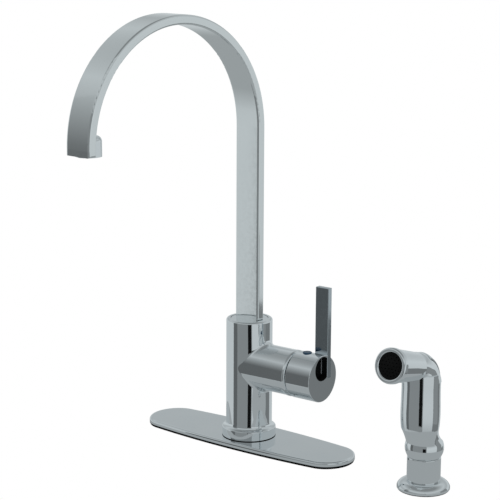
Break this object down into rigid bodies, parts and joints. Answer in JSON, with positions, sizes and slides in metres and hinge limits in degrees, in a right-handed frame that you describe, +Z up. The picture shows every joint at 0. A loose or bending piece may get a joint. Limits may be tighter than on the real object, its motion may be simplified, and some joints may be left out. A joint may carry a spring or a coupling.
{
  "type": "side spray kitchen faucet",
  "caption": "Kitchen faucet with a flat high-arch swivel spout, a side lever on an oval deck plate and a separate pull-out side sprayer in its own holder.",
  "frame": {"origin": "centre of the faucet's deck hole, at the counter's surface", "axes": "+Z up; +X along the side branch towards the handle and the sprayer; -Y towards the basin"},
  "size_m": [0.353, 0.2521, 0.4846],
  "materials": {
    "chrome": "polished",
    "brass": "turned",
    "steel": "brushed",
    "rubber": "matt",
    "black_plastic": "matt",
    "white_plastic": "matt",
    "grey_plastic": "matt",
    "ceramic": "ground",
    "index_blue": "gloss"
  },
  "bodies": {
    "faucet": {"deck_gasket": "rubber", "deck_plate": "chrome", "plate_base": "black_plastic", "base_ring": "chrome", "faucet_body": "chrome", "spout_bush_upper": "white_plastic", "spout_bush_lower": "white_plastic", "mounting_shank": "brass", "shank_rubber_washer": "rubber", "shank_steel_washer": "steel", "mounting_nut": "brass", "diverter_body": "brass", "cartridge_housing": "white_plastic", "port_seals": "rubber", "fixed_disc": "ceramic", "bonnet_nut": "brass", "bonnet_dome": "chrome", "holder_gasket": "rubber", "spray_holder": "chrome", "holder_liner": "black_plastic", "holder_washer": "rubber", "holder_nut": "black_plastic"},
    "spout": {"spout_tube": "chrome", "spout_collar": "chrome", "spout_post": "brass", "spout_o_rings": "rubber", "outlet_housing": "chrome", "aerator_screen": "grey_plastic", "aerator_insert": "white_plastic", "aerator_seal": "rubber"},
    "mixer": {"cartridge_rotor": "grey_plastic", "stem_pin": "steel"},
    "handle": {"cartridge_stem": "brass", "handle_hub": "chrome", "handle_plug": "black_plastic", "handle_lever": "chrome", "handle_set_screw": "steel", "index_button": "index_blue"},
    "disc": {"moving_disc": "ceramic"},
    "diverter": {"diverter_piston": "white_plastic"},
    "connector": {"hose_connector": "brass"},
    "sprayer": {"connector_washer": "rubber", "sprayer_shell": "chrome", "face_ring": "chrome", "spray_face": "black_plastic", "spray_spigot": "black_plastic", "valve_body": "grey_plastic", "valve_spring": "steel", "trigger_pin": "steel"},
    "trigger": {"trigger": "chrome"},
    "plunger": {"valve_plunger": "steel"}
  },
  "joints": [
    {"name": "spout_swivel", "type": "hinge", "parent": "faucet", "child": "spout", "pos_m": [0, 0, 0.122], "axis": [0, 0, 1], "continuous": true},
    {"name": "temperature", "type": "hinge", "parent": "faucet", "child": "mixer", "pos_m": [0.0405, 0, 0.0794], "axis": [1, 0, 0], "range_deg": [-45, 45]},
    {"name": "lift", "type": "hinge", "parent": "mixer", "child": "handle", "pos_m": [0.0405, 0, 0.0794], "axis": [0, 1, 0], "range_deg": [0, 20]},
    {"name": "disc_slide", "type": "slide", "parent": "mixer", "child": "disc", "axis": [0, 0, 1], "range_m": [0, 0.0027]},
    {"name": "diverter_slide", "type": "slide", "parent": "faucet", "child": "diverter", "axis": [0, 0, 1], "range_m": [0, 0.006]},
    {"name": "sprayer_lift", "type": "slide", "parent": "faucet", "child": "connector", "axis": [0, 0, 1], "range_m": [0, 0.12]},
    {"name": "sprayer_swivel", "type": "hinge", "parent": "connector", "child": "sprayer", "pos_m": [0.208, -0.008, 0.02], "axis": [0, 0, 1], "continuous": true},
    {"name": "trigger_press", "type": "hinge", "parent": "sprayer", "child": "trigger", "pos_m": [0.208, -0.0162, 0.11964], "axis": [1, 0, 0], "range_deg": [-6, 0], "stiffness_Nm_per_rad": 1, "springref_deg": 2.86},
    {"name": "plunger_slide", "type": "slide", "parent": "sprayer", "child": "plunger", "axis": [0, 1, 0], "range_m": [-0.0025, 0], "deforming": ["valve_spring"]}
  ],
  "couplings": [
    {"joint": "disc_slide", "follows": "lift", "m_per_rad": 0.00745},
    {"joint": "plunger_slide", "follows": "trigger_press", "m_per_rad": 0.0206}
  ]
}
